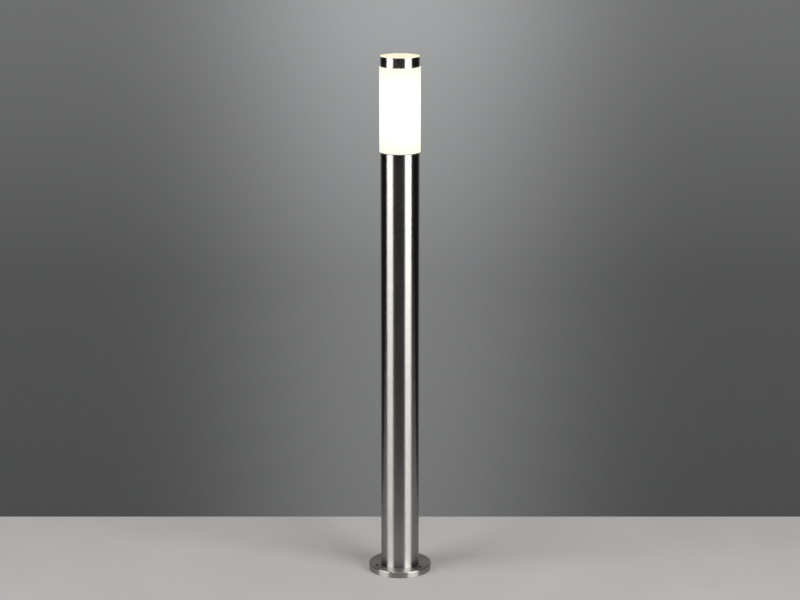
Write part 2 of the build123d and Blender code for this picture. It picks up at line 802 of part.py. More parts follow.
def make_bulb_inside():
    board_bottom = 926.0
    board_thickness = 1.4
    board_radius = 23.5
    led_circle_radius = 17.0
    led_count = 12
    led_size = 2.8
    led_height = 0.7
    board_hole_radius = 2.0
    make_ring("bulb_led_board", board_radius, board_hole_radius, board_bottom, board_bottom + board_thickness)

    with BuildPart() as bulb_leds:
        with BuildSketch(Plane.XY.offset(board_bottom + board_thickness)):
            with PolarLocations(led_circle_radius, led_count):
                Rectangle(led_size, led_size)
        extrude(amount=led_height)
    save(bulb_leds, "bulb_leds")

    sink_wall = 1.0
    sink_hole_radius = 3.0
    sink_top_radius = 23.8
    sink_foot_radius = 10.6
    sink_foot_height = 900.0
    sink_rim = 1.5
    sink_plate = 2.5
    make_turned("bulb_heat_sink", [
        (sink_hole_radius, board_bottom), (sink_top_radius, board_bottom),
        (sink_top_radius, board_bottom - sink_rim), (sink_foot_radius, sink_foot_height),
        (sink_foot_radius - sink_wall, sink_foot_height),
        (sink_top_radius - 2.4 * sink_wall, board_bottom - sink_plate),
        (sink_hole_radius, board_bottom - sink_plate),
    ])

    driver_half_width = 8.0
    driver_bottom = 893.0
    driver_top = 920.0
    driver_sheet = 1.2
    capacitor_place = (-2.5, 908)
    capacitor_radius = 3.0
    chip_places = [(4, 901), (4, 913)]
    chip_width = 4.0
    chip_height = 5.0
    component_depth = 4.0
    with BuildPart() as bulb_driver:
        with BuildSketch(facing_front(driver_sheet / 2)):
            with Locations((0, (driver_bottom + driver_top) / 2)):
                Rectangle(2 * driver_half_width, driver_top - driver_bottom)
        extrude(amount=driver_sheet)
        with BuildSketch(facing_front(-driver_sheet / 2)):
            with Locations(capacitor_place):
                Circle(capacitor_radius)
            with Locations(*chip_places):
                Rectangle(chip_width, chip_height)
        extrude(amount=component_depth)
    save(bulb_driver, "bulb_driver")


# ---- head ---------------------------------------------------------------------------------------
def make_head():
    neck_top_height = band_top - lens_seal_thickness
    bottom_chamfer = 0.5
    shoulder_edge_radius = 0.6
    with BuildPart() as diffuser:
        with BuildSketch(Plane.XZ):
            with BuildLine():
                Polyline(
                    (diffuser_inner_radius, diffuser_bottom),
                    (diffuser_radius - bottom_chamfer, diffuser_bottom),
                    (diffuser_radius, diffuser_bottom + bottom_chamfer),
                    (diffuser_radius, shoulder_top), (neck_radius, shoulder_top),
                    (neck_radius, neck_top_height), (neck_inner_radius, neck_top_height),
                    (neck_inner_radius, shoulder_top - shoulder_thickness),
                    (diffuser_inner_radius, shoulder_top - shoulder_thickness), close=True,
                )
            make_face()
        revolve(axis=Axis.Z)
        shoulder_edges = diffuser.edges().filter_by_position(Axis.Z, shoulder_top, shoulder_top)
        fillet(shoulder_edges.sort_by(SortBy.RADIUS)[-1], radius=shoulder_edge_radius)
    save(diffuser, "diffuser")

    make_ring("trim_ring", tube_radius, neck_radius + fit_gap, shoulder_top, band_top)
    make_ring("lens_seal", neck_radius, neck_inner_radius + fit_gap, neck_top_height, band_top)

    lens_edge_radius = 0.8
    spigot_depth = 6.0
    spigot_wall = 3.0
    spigot_radius = neck_inner_radius - fit_gap
    with BuildPart() as top_lens:
        with BuildSketch(Plane.XY.offset(band_top)):
            Circle(lens_radius)
        extrude(amount=lens_thickness)
        rim = top_lens.edges().group_by(Axis.Z)[-1]
        fillet(rim, radius=lens_edge_radius)
        with BuildSketch(Plane.XY.offset(band_top)):
            Circle(spigot_radius)
            Circle(spigot_radius - spigot_wall, mode=Mode.SUBTRACT)
        extrude(amount=-spigot_depth)
    save(top_lens, "top_lens")


make_foot()
make_connection_bracket()
make_terminals()
make_earth_point()
make_cable_clamp()
make_leads()
make_adapter()
make_gland()
make_lampholder_bracket()
make_lampholder()
make_lampholder_contacts()
make_bulb_cap()
make_bulb_body()
make_bulb_inside()
make_head()
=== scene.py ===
"""Looks of the bollard light: lathed shells, brushed steel, glowing opal, and the studio round it.

The frame is the part's own: +Z up, the front towards -Y. Outlines are written in millimetres and scaled
by MM, because Blender's unit here is the metre. Lights, camera and floor are in metres.
"""

import json
import math

import bmesh
import bpy
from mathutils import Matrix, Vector


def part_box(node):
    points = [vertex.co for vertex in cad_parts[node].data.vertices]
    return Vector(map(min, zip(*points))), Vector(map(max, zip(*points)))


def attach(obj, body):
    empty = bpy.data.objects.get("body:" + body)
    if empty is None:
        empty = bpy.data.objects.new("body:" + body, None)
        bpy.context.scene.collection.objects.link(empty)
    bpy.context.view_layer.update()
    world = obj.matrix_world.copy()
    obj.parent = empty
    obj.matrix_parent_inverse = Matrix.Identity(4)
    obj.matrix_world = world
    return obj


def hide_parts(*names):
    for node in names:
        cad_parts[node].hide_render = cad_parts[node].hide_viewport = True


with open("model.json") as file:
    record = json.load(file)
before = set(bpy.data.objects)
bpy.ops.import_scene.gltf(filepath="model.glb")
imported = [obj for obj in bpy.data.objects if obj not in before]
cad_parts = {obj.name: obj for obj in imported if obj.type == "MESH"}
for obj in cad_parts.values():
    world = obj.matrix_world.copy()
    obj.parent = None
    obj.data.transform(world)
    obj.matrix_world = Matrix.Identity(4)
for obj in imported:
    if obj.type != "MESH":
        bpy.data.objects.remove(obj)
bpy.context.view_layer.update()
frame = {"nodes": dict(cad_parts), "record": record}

MM = 0.001
TURN = 2 * math.pi

# Edges sharper than this stay sharp, and faces as level as this are shaded flat.
SMOOTH_ANGLE = math.radians(38)
FLAT_FACE = 0.9999
# Points nearer to each other than this, as cutting leaves them, are joined.
WELD_DISTANCE = 0.001 * MM

FINE_SEGMENTS = 256
# How far a cutter passes beyond the face that it opens.
DRILL_PAST = 1
E27_PITCH = 3.62

# The foot's screw holes, as radii.
FIXING_CIRCLE = 50.0
FIXING_HOLE = 3.25

# Places of the colour sockets on a Mix node, whose names it uses more than once.
MIX_FIRST, MIX_SECOND, MIX_RESULT = 6, 7, 2


def around(radius, count, start):
    """Evenly spaced (x, y) places on a circle; start is in degrees."""
    angles = [math.radians(start) + TURN * i / count for i in range(count)]
    return [(radius * math.cos(a), radius * math.sin(a)) for a in angles]


fixing_places = around(FIXING_CIRCLE, 3, 90)


# ---- node helpers -------------------------------------------------------------------------------
class Nodes:
    """A node tree, with short calls for the nodes that materials and the world share."""

    def __init__(self, tree):
        self.tree = tree

    def feed(self, socket, value):
        """Link an output to the socket, or set the socket's own value."""
        if isinstance(value, bpy.types.NodeSocket):
            self.tree.links.new(value, socket)
        else:
            socket.default_value = value

    def add(self, kind, inputs=None, **settings):
        made = self.tree.nodes.new(kind)
        for key, value in settings.items():
            setattr(made, key, value)
        for key, value in (inputs or {}).items():
            self.feed(made.inputs[key], value)
        return made

    def math(self, operation, first, second=0.0):
        return self.add("ShaderNodeMath", {0: first, 1: second}, operation=operation).outputs[0]

    def remap(self, value, low, high, new_low, new_high):
        made = self.add("ShaderNodeMapRange", {
            "Value": value, "From Min": low, "From Max": high, "To Min": new_low, "To Max": new_high,
        })
        return made.outputs["Result"]

    def ramp(self, factor, *stops):
        """Colour ramp from (place, colour) stops."""
        made = self.add("ShaderNodeValToRGB", {"Fac": factor})
        elements = made.color_ramp.elements
        while len(elements) < len(stops):
            elements.new(0.5)
        for element, (place, colour) in zip(elements, stops):
            element.position = place
            element.color = (*colour, 1.0)
        return made.outputs["Color"]


class Shader(Nodes):
    """One material's node tree, whose surface is its Principled BSDF."""

    def __init__(self, name):
        self.material = bpy.data.materials.new(name)
        self.material.use_nodes = True
        super().__init__(self.material.node_tree)
        self.surface = self.tree.nodes["Principled BSDF"]
        self.coords = self.add("ShaderNodeTexCoord").outputs["Object"]

    def axes(self):
        """X, Y and Z of the point, in the part's frame."""
        return self.add("ShaderNodeSeparateXYZ", {"Vector": self.coords}).outputs

    def stretched(self, x, y, z):
        """The point with each axis scaled, so that noise on it has a direction."""
        made = self.add("ShaderNodeVectorMath", {0: self.coords, 1: (x, y, z)}, operation="MULTIPLY")
        return made.outputs["Vector"]

    def round_grain(self, along, across):
        """Coordinates whose noise runs in rings about the lamp's axis, on walls and flat faces alike."""
        x, y, z = self.axes()
        flat = self.add("ShaderNodeCombineXYZ", {"X": x, "Y": y})
        unit = self.add("ShaderNodeVectorMath", {0: flat.outputs[0]}, operation="NORMALIZE")
        reach = self.add("ShaderNodeVectorMath", {0: flat.outputs[0]}, operation="LENGTH")
        way = self.add("ShaderNodeSeparateXYZ", {"Vector": unit.outputs["Vector"]}).outputs
        step = self.math("MULTIPLY", self.math("ADD", reach.outputs["Value"], z), across)
        made = self.add("ShaderNodeCombineXYZ", {
            "X": self.math("MULTIPLY", way[0], along),
            "Y": self.math("MULTIPLY", way[1], along),
            "Z": step,
        })
        return made.outputs[0]

    def noise(self, coords, scale, detail=4.0, roughness=0.55, distortion=0.0):
        made = self.add("ShaderNodeTexNoise", {
            "Vector": coords, "Scale": scale, "Detail": detail, "Roughness": roughness,
            "Distortion": distortion,
        })
        return made.outputs["Fac"]

    def cells(self, coords, scale):
        made = self.add("ShaderNodeTexVoronoi", {"Vector": coords, "Scale": scale}, feature="F1")
        return made.outputs["Color"]

    def mix(self, factor, first, second, blend="MIX"):
        made = self.add("ShaderNodeMix", data_type="RGBA", blend_type=blend)
        self.feed(made.inputs["Factor"], factor)
        for index, value in ((MIX_FIRST, first), (MIX_SECOND, second)):
            linked = isinstance(value, bpy.types.NodeSocket)
            self.feed(made.inputs[index], value if linked else (*value, 1.0))
        return made.outputs[MIX_RESULT]

    def edges(self):
        """1 on outward edges, 0 on flats."""
        flat, sharp = 0.52, 0.60
        point = self.add("ShaderNodeNewGeometry").outputs["Pointiness"]
        return self.remap(point, flat, sharp, 0.0, 1.0)

    def within(self, places, radius):
        """1 inside an upright cylinder about each (x, y) place, 0 outside; millimetres."""
        fade = 0.06
        x, y, _ = self.axes()
        flat = self.add("ShaderNodeCombineXYZ", {"X": x, "Y": y}).outputs[0]
        inside = 0.0
        for place_x, place_y in places:
            centre = (place_x * MM, place_y * MM, 0.0)
            reach = self.add("ShaderNodeVectorMath", {0: flat, 1: centre}, operation="DISTANCE")
            step = self.remap(reach.outputs["Value"], radius * MM, (radius + fade) * MM, 1.0, 0.0)
            inside = self.math("MAXIMUM", step, inside)
        return inside

    def bump(self, height, distance, strength):
        made = self.add("ShaderNodeBump", {"Height": height, "Distance": distance, "Strength": strength})
        return made.outputs["Normal"]

    def finish(self, **values):
        """Feed the surface's sockets; underscores in a name stand for spaces."""
        for key, value in values.items():
            socket = self.surface.inputs[key.replace("_", " ")]
            if not isinstance(value, bpy.types.NodeSocket) and socket.type == "RGBA":
                value = (*value, 1.0)
            self.feed(socket, value)
        return self.material


# ---- metals -------------------------------------------------------------------------------------
def brushed_stainless():
    # How far past each screw hole's rim the painted shade reaches, in millimetres.
    shade_past_rim = 0.25
    s = Shader("brushed_stainless")
    fine = s.noise(s.round_grain(3.0, 3200), 1.0, 3.0, 0.6)
    bands = s.noise(s.round_grain(1.6, 420), 1.0, 4.0, 0.55)
    smudges = s.noise(s.coords, 11.0, 3.0, 0.55, 0.6)
    grain = s.math("ADD", s.math("MULTIPLY", fine, 0.6), s.math("MULTIPLY", bands, 0.4))
    tone = s.ramp(grain, (0.34, (0.38, 0.372, 0.360)), (0.52, (0.42, 0.412, 0.400)),
                  (0.68, (0.46, 0.452, 0.440)))
    worn = s.mix(s.math("MULTIPLY", s.edges(), 0.45), tone, (0.68, 0.67, 0.65))
    # Painted shade: the screw holes and a thin ring past their rims are painted near black, standing for the
    # shade inside them.
    painted_hole_shade = s.mix(s.within(fixing_places, FIXING_HOLE + shade_past_rim), worn, (0.02, 0.019, 0.018))
    gloss = s.math("ADD", s.remap(grain, 0.3, 0.7, 0.285, 0.315),
                   s.remap(smudges, 0.35, 0.7, -0.008, 0.012))
    tangent = s.add("ShaderNodeTangent", direction_type="RADIAL", axis="Z").outputs["Tangent"]
    return s.finish(Base_Color=painted_hole_shade, Metallic=1.0, Roughness=gloss, Anisotropic=1.0,
                    Anisotropic_Rotation=0.25, Tangent=tangent, Normal=s.bump(fine, 0.000004, 0.25))


def galvanised_steel():
    s = Shader("galvanised_steel")
    spangle = s.cells(s.coords, 160.0)
    patches = s.noise(s.coords, 45.0, 5.0)
    tone = s.mix(0.22, s.ramp(patches, (0.3, (0.36, 0.37, 0.385)), (0.7, (0.52, 0.53, 0.55))), spangle,
                 "SOFT_LIGHT")
    gloss = s.remap(patches, 0.3, 0.7, 0.36, 0.56)
    return s.finish(Base_Color=tone, Metallic=0.95, Roughness=gloss,
                    Normal=s.bump(s.noise(s.coords, 900.0), 0.00004, 0.5))


def weld_steel():
    s = Shader("weld_steel")
    x, y, _ = s.axes()
    angle = s.math("ARCTAN2", y, x)
    ripple = s.math("SINE", s.math("MULTIPLY", angle, 150.0))
    heat = s.noise(s.coords, 60.0, 3.0)
    tone = s.ramp(heat, (0.3, (0.26, 0.20, 0.15)), (0.5, (0.38, 0.36, 0.34)), (0.7, (0.20, 0.24, 0.34)))
    return s.finish(Base_Color=tone, Metallic=1.0, Roughness=s.remap(heat, 0.3, 0.7, 0.34, 0.5),
                    Normal=s.bump(ripple, 0.0003, 0.8))


def plated(name, dark, light, rough_low, rough_high, grain_scale=1400.0):
    """Plated or turned metal with a fine all-round grain and brighter edges."""
    s = Shader(name)
    patches = s.noise(s.coords, 120.0, 4.0)
    grain = s.noise(s.coords, grain_scale, 3.0)
    tone = s.ramp(patches, (0.3, dark), (0.7, light))
    worn = s.mix(s.math("MULTIPLY", s.edges(), 0.4), tone, tuple(min(1.0, c * 1.35) for c in light))
    return s.finish(Base_Color=worn, Metallic=1.0, Roughness=s.remap(grain, 0.3, 0.7, rough_low, rough_high),
                    Normal=s.bump(grain, 0.00002, 0.4))


# ---- plastics, rubber and ceramic ---------------------------------------------------------------
def moulded(name, colour, rough_low, rough_high, depth=0.00004, coat=0.0):
    """Moulded plastic: a fine spark-eroded grain, slight flow marks and paler rubbed edges."""
    s = Shader(name)
    flow = s.noise(s.stretched(1.0, 1.0, 0.35), 60.0, 4.0, 0.5, 0.4)
    texture = s.noise(s.coords, 700.0, 3.0)
    shaded = tuple(c * 0.86 for c in colour)
    tone = s.ramp(flow, (0.3, shaded), (0.7, colour))
    rubbed = s.mix(s.math("MULTIPLY", s.edges(), 0.25), tone, tuple(c + (1 - c) * 0.35 for c in colour))
    return s.finish(Base_Color=rubbed, Roughness=s.remap(flow, 0.3, 0.7, rough_low, rough_high),
                    Coat_Weight=coat, Normal=s.bump(texture, depth, 0.5))


def rubber(name, colour):
    s = Shader(name)
    dust = s.noise(s.coords, 90.0, 5.0, 0.65)
    pores = s.noise(s.coords, 1500.0, 2.0)
    tone = s.ramp(dust, (0.35, colour), (0.75, tuple(c + 0.035 for c in colour)))
    return s.finish(Base_Color=tone, Roughness=s.remap(dust, 0.3, 0.7, 0.55, 0.8), Sheen_Weight=0.1,
                    Normal=s.bump(pores, 0.00005, 0.5))


def porcelain():
    s = Shader("porcelain")
    body = s.noise(s.coords, 70.0, 4.0)
    specks = s.remap(s.noise(s.coords, 900.0, 1.0), 0.70, 0.76, 0.0, 0.5)
    tone = s.mix(specks, s.ramp(body, (0.3, (0.80, 0.785, 0.74)), (0.7, (0.88, 0.87, 0.83))),
                 (0.40, 0.33, 0.24))
    return s.finish(Base_Color=tone, Roughness=s.remap(body, 0.3, 0.7, 0.10, 0.20), Coat_Weight=0.6,
                    Coat_Roughness=0.06, Normal=s.bump(s.noise(s.coords, 140.0, 2.0), 0.0001, 0.5))


def clear_silicone():
    s = Shader("clear_silicone")
    haze = s.noise(s.coords, 200.0)
    tone = s.ramp(haze, (0.3, (0.70, 0.69, 0.64)), (0.7, (0.82, 0.81, 0.77)))
    return s.finish(Base_Color=tone, Roughness=s.remap(haze, 0.3, 0.7, 0.3, 0.45),
                    Subsurface_Weight=0.3, Normal=s.bump(haze, 0.00005, 0.4))


def core_insulation(name, colour, stripe=None):
    """Soft glossy PVC, with a second colour in two stripes where the core is striped."""
    s = Shader(name)
    flow = s.noise(s.stretched(1.0, 1.0, 0.1), 500.0, 3.0)
    tone = s.ramp(flow, (0.3, tuple(c * 0.8 for c in colour)), (0.7, colour))
    if stripe is not None:
        x, _, z = s.axes()
        wave = s.math("SINE", s.math("ADD", s.math("MULTIPLY", x, 1900.0), s.math("MULTIPLY", z, 260.0)))
        tone = s.mix(s.remap(wave, -0.08, 0.08, 0.0, 1.0), tone, stripe)
    return s.finish(Base_Color=tone, Roughness=s.remap(flow, 0.3, 0.7, 0.28, 0.42),
                    Normal=s.bump(flow, 0.00004, 0.4))


def circuit_board():
    s = Shader("circuit_board")
    x, _, z = s.axes()
    tracks = s.math("PINGPONG", s.math("MULTIPLY", s.math("ADD", x, z), 420.0), 0.5)
    laminate = s.noise(s.coords, 1200.0)
    base = s.ramp(laminate, (0.3, (0.03, 0.15, 0.07)), (0.7, (0.06, 0.22, 0.11)))
    tone = s.mix(s.remap(tracks, 0.34, 0.40, 0.0, 0.6), base, (0.14, 0.36, 0.18))
    return s.finish(Base_Color=tone, Roughness=s.remap(laminate, 0.3, 0.7, 0.32, 0.48),
                    Normal=s.bump(tracks, 0.00003, 0.5))


# ---- lit plastics -------------------------------------------------------------------------------
def glowing_opal(name, low, high, ends, middle, strength, fade=0.22):
    """Opal plastic lit from inside: brightest in the middle of its height, warmer near its ends."""
    s = Shader(name)
    _, _, z = s.axes()
    along = s.remap(z, low, high, 0.0, 1.0)
    glow = s.ramp(along, (0.0, ends), (fade, middle), (1 - fade, middle), (1.0, ends))
    cloud = s.noise(s.coords, 35.0, 3.0)
    satin = s.noise(s.coords, 1600.0, 2.0)
    tone = s.ramp(cloud, (0.3, (0.19, 0.187, 0.175)), (0.7, (0.22, 0.216, 0.204)))
    light = s.mix(s.remap(cloud, 0.3, 0.7, 0.0, 0.04), glow, ends)
    return s.finish(Base_Color=tone, Roughness=s.remap(cloud, 0.3, 0.7, 0.46, 0.56),
                    Specular_IOR_Level=0.25, Subsurface_Weight=0.2, Subsurface_Scale=0.004,
                    Emission_Color=light, Emission_Strength=strength,
                    Normal=s.bump(satin, 0.00003, 0.4))


def led_phosphor():
    s = Shader("led_phosphor")
    grain = s.noise(s.coords, 2500.0)
    tone = s.ramp(grain, (0.3, (0.80, 0.58, 0.12)), (0.7, (0.92, 0.74, 0.24)))
    return s.finish(Base_Color=tone, Roughness=s.remap(grain, 0.3, 0.7, 0.35, 0.5),
                    Emission_Color=(1.0, 0.86, 0.55), Emission_Strength=2.5,
                    Normal=s.bump(grain, 0.00003, 0.5))


# ---- places taken from the frame ----------------------------------------------------------------
def heights(node):
    """Lowest and highest point of a CAD node, in millimetres."""
    low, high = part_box(node)
    return low.z / MM, high.z / MM


def radius_of(node):
    """Outer radius of a round CAD node, in millimetres."""
    low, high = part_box(node)
    return (high.x - low.x) / 2 / MM


diffuser_low = heights("diffuser")[0]
shoulder_height = heights("trim_ring")[0]
lens_low, lens_high = heights("top_lens")
globe_low, globe_high = heights("bulb_envelope")

materials = {
    "brushed_stainless": brushed_stainless(),
    "galvanised_steel": galvanised_steel(),
    "weld_steel": weld_steel(),
    "zinc_screws": plated("zinc_screws", (0.46, 0.47, 0.47), (0.62, 0.62, 0.60), 0.22, 0.36),
    "brass": plated("brass", (0.50, 0.34, 0.13), (0.68, 0.49, 0.22), 0.20, 0.34),
    "tinned_copper": plated("tinned_copper", (0.54, 0.50, 0.45), (0.68, 0.65, 0.61), 0.24, 0.38),
    "nickel": plated("nickel", (0.52, 0.50, 0.46), (0.66, 0.64, 0.60), 0.12, 0.24),
    "cast_aluminium": plated("cast_aluminium", (0.55, 0.56, 0.58), (0.70, 0.71, 0.72), 0.34, 0.52, 600.0),
    "black_rubber": rubber("black_rubber", (0.016, 0.016, 0.017)),
    "lead_sheath": rubber("lead_sheath", (0.020, 0.020, 0.021)),
    "clear_silicone": clear_silicone(),
    "terminal_plastic": moulded("terminal_plastic", (0.74, 0.71, 0.60), 0.42, 0.56),
    "grey_plastic": moulded("grey_plastic", (0.12, 0.125, 0.13), 0.38, 0.52),
    "white_plastic": moulded("white_plastic", (0.78, 0.78, 0.755), 0.24, 0.36, depth=0.00002, coat=0.15),
    "porcelain": porcelain(),
    "black_glass": moulded("black_glass", (0.012, 0.010, 0.012), 0.06, 0.14, depth=0.00001, coat=0.8),
    "live_insulation": core_insulation("live_insulation", (0.13, 0.055, 0.022)),
    "neutral_insulation": core_insulation("neutral_insulation", (0.02, 0.10, 0.42)),
    "earth_insulation": core_insulation("earth_insulation", (0.05, 0.30, 0.05), (0.80, 0.72, 0.06)),
    "board_white": moulded("board_white", (0.82, 0.82, 0.79), 0.26, 0.4),
    "circuit_board": circuit_board(),
    "opal_acrylic": glowing_opal("opal_acrylic", diffuser_low * MM, shoulder_height * MM,
                                 (0.76, 0.75, 0.62), (0.92, 0.92, 0.90), 1.0, 0.30),
    "lens_acrylic": glowing_opal("lens_acrylic", lens_low * MM, lens_high * MM, (0.78, 0.70, 0.48),
                                 (0.80, 0.72, 0.51), 0.9),
    "bulb_opal": glowing_opal("bulb_opal", globe_low * MM, globe_high * MM, (0.95, 0.86, 0.68),
                              (1.0, 0.96, 0.88), 1.1),
    "led_phosphor": led_phosphor(),
}

for entry in frame["record"]["subparts"]:
    cad_piece = frame["nodes"][entry["node"]]
    cad_piece.data.materials.clear()
    cad_piece.data.materials.append(materials[entry["material_slot"]])

slot_of = {entry["node"]: entry["material_slot"] for entry in frame["record"]["subparts"]}
body_of = {node: body for body, nodes in frame["record"]["behaviour"]["bodies"].items() for node in nodes}


# ---- mesh helpers -------------------------------------------------------------------------------
def rounded_outline(corners, arc_steps):
    """Outline in (radius, height) points from (radius, height, rounding) corners.

    A short straight beside each arc keeps the long faces next to it truly flat in shading.
    """
    straight = 0.35
    points = []
    for index, (radius, height, rounding) in enumerate(corners):
        here = Vector((radius, height))
        if rounding <= 0:
            points.append(here)
            continue
        back = (Vector(corners[index - 1][:2]) - here).normalized()
        ahead = (Vector(corners[(index + 1) % len(corners)][:2]) - here).normalized()
        half = back.angle(ahead) / 2
        reach = rounding / math.tan(half)
        support = reach + straight * rounding
        centre = here + (back + ahead).normalized() * rounding / math.sin(half)
        first = here + back * reach - centre
        last = here + ahead * reach - centre
        start = math.atan2(first.y, first.x)
        sweep = math.remainder(math.atan2(last.y, last.x) - start, TURN)
        points.append(here + back * support)
        for step in range(arc_steps + 1):
            angle = start + sweep * step / arc_steps
            points.append(centre + rounding * Vector((math.cos(angle), math.sin(angle))))
        points.append(here + ahead * support)
    return points


def ring_outline(node, wall, inner_rounding, outer_rounding, arc_steps):
    """Outline of a plain ring as high and as wide as a round CAD node."""
    low, high = heights(node)
    outer = radius_of(node)
    inner = outer - wall
    return rounded_outline([
        (inner, low, inner_rounding), (outer, low, outer_rounding),
        (outer, high, outer_rounding), (inner, high, inner_rounding),
    ], arc_steps)


def arc_to_top(radius, centre, start, steps=40):
    """Arc about (0, centre) in an outline, from the start angle up to just short of its top."""
    sweep = math.pi / 2 - start
    angles = [start + sweep * i / steps for i in range(steps)]
    return [Vector((radius * math.cos(a), centre + radius * math.sin(a))) for a in angles]


def lathed(points, segments=192):
    """Closed mesh of revolution in metres, from (radius, height) points in millimetres."""
    on_axis = 1e-6
    shape = bmesh.new()
    rings = []
    for radius, height in points:
        count = segments if radius > on_axis else 1
        angles = [TURN * i / count for i in range(count)]
        rings.append([
            shape.verts.new((radius * MM * math.cos(a), radius * MM * math.sin(a), height * MM))
            for a in angles
        ])
    for ring, after in zip(rings, rings[1:] + rings[:1]):
        if len(ring) == 1 and len(after) == 1:
            continue
        for i in range(segments):
            j = (i + 1) % segments
            loop = [ring[i % len(ring)], ring[j % len(ring)], after[j % len(after)], after[i % len(after)]]
            shape.faces.new(list(dict.fromkeys(loop)))
    bmesh.ops.recalc_face_normals(shape, faces=shape.faces)
    return shape


def threaded(low, high, crest, root, wall):
    """Thin sleeve pressed into an E27 screw thread, open at both ends."""
    segments, rows_per_turn = 144, 14
    run_out = 1.6
    rows = math.ceil((high - low) / E27_PITCH * rows_per_turn)
    shape = bmesh.new()
    walls = []
    for offset in (0.0, wall):
        wall_rings = []
        for row in range(rows + 1):
            height = low + (high - low) * row / rows
            ease = min(1.0, (height - low) / run_out, (high - height) / run_out)
            ring = []
            for i in range(segments):
                angle = TURN * i / segments
                phase = TURN * (height - low) / E27_PITCH - angle
                lift = 0.5 - 0.5 * math.cos(phase)
                radius = (root + (crest - root) * lift * max(0.0, ease) - offset) * MM
                spot = (radius * math.cos(angle), radius * math.sin(angle), height * MM)
                ring.append(shape.verts.new(spot))
            wall_rings.append(ring)
        walls.append(wall_rings)
    outer, inner = walls
    loops = outer + inner[::-1]
    for ring, after in zip(loops, loops[1:] + loops[:1]):
        for i in range(segments):
            j = (i + 1) % segments
            shape.faces.new((ring[i], ring[j], after[j], after[i]))
    bmesh.ops.recalc_face_normals(shape, faces=shape.faces)
    return shape


def place(shape, name, node, drills=()):
    """Turn a mesh into the piece that stands for one CAD node.

    Its body, slot and finish come from the record.
    """
    mesh = bpy.data.meshes.new(name)
    shape.to_mesh(mesh)
    shape.free()
    piece = bpy.data.objects.new(name, mesh)
    bpy.context.scene.collection.objects.link(piece)
    for drill in drills:
        cut(piece, drill)
    weld(piece.data)
    piece.data.materials.clear()
    piece.data.materials.append(materials[slot_of[node]])
    for face in piece.data.polygons:
        face.use_smooth = abs(face.normal.z) < FLAT_FACE
    piece.data.set_sharp_from_angle(angle=SMOOTH_ANGLE)
    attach(piece, body_of[node])
    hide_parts(node)


def weld(mesh):
    """Join points that lie on each other, as cutting leaves them, so that no face is without area."""
    shape = bmesh.new()
    shape.from_mesh(mesh)
    bmesh.ops.remove_doubles(shape, verts=shape.verts, dist=WELD_DISTANCE)
    bmesh.ops.dissolve_degenerate(shape, edges=shape.edges, dist=WELD_DISTANCE)
    shape.to_mesh(mesh)
    shape.free()


def cut(piece, drill):
    """Take a closed cutter shape away from a piece."""
    mesh = bpy.data.meshes.new("drill")
    drill.to_mesh(mesh)
    drill.free()
    tool = bpy.data.objects.new("drill", mesh)
    bpy.context.scene.collection.objects.link(tool)
    modifier = piece.modifiers.new("cut", "BOOLEAN")
    modifier.operation = "DIFFERENCE"
    modifier.solver = "EXACT"
    modifier.object = tool
    bpy.context.view_layer.update()
    made = bpy.data.meshes.new_from_object(piece.evaluated_get(bpy.context.evaluated_depsgraph_get()))
    piece.modifiers.clear()
    piece.data = made
    bpy.data.objects.remove(tool)


def drill_at(x, y, points, segments):
    """Cutter of revolution about an upright line through (x, y), from (radius, height) points."""
    shape = lathed(points, segments)
    bmesh.ops.translate(shape, verts=shape.verts, vec=(x * MM, y * MM, 0))
    return shape


def straight_drill(x, y, radius, low, high, segments=32):
    """Plain round cutter between two heights."""
    return drill_at(x, y, [(0, low), (radius, low), (radius, high), (0, high)], segments)


# ---- pole and foot ------------------------------------------------------------------------------
def build_tube():
    outline = ring_outline("pole_tube", wall=1.5, inner_rounding=0.35, outer_rounding=0.35, arc_steps=4)
    place(lathed(outline, FINE_SEGMENTS), "tube_shell", "pole_tube")


def build_foot():
    low, high = heights("base_flange")
    outer = radius_of("base_flange")
    sheet = 2.0
    tube_hole = radius_of("pole_tube") + 0.1
    edge = 1.5
    # Two more rings on the top face keep the cuts to a narrow band.
    hole_band = FIXING_HOLE + 1.2
    outline = rounded_outline([
        (tube_hole, high - sheet, 0.2), (outer - sheet, high - sheet, 0.6), (outer - sheet, low, 0.3),
        (outer, low, 0.3), (outer, high, edge), (FIXING_CIRCLE + hole_band, high, 0),
        (FIXING_CIRCLE - hole_band, high, 0), (tube_hole, high, 0.25),
    ], 6)
    chamfer = 0.08
    drill = [(0, low - DRILL_PAST), (FIXING_HOLE, low - DRILL_PAST), (FIXING_HOLE, high - chamfer),
             (FIXING_HOLE + 2 * chamfer, high + chamfer), (0, high + chamfer)]
    drills = [drill_at(x, y, drill, 48) for x, y in fixing_places]
    place(lathed(outline, FINE_SEGMENTS), "foot_cover", "base_flange", drills)


# ---- head ---------------------------------------------------------------------------------------
def build_diffuser():
    low, high = heights("diffuser")
    outer = radius_of("diffuser")
    inner = outer - 2.6
    neck_outer, neck_inner = 36.7, 34.3
    neck_floor = shoulder_height - 2.5
    outline = rounded_outline([
        (inner, low, 0.4), (outer, low, 0.5), (outer, shoulder_height, 0.6),
        (neck_outer, shoulder_height, 0.3), (neck_outer, high, 0.3), (neck_inner, high, 0.3),
        (neck_inner, neck_floor, 0.5), (inner, neck_floor, 0.8),
    ], 6)
    place(lathed(outline, FINE_SEGMENTS), "opal_cylinder", "diffuser")


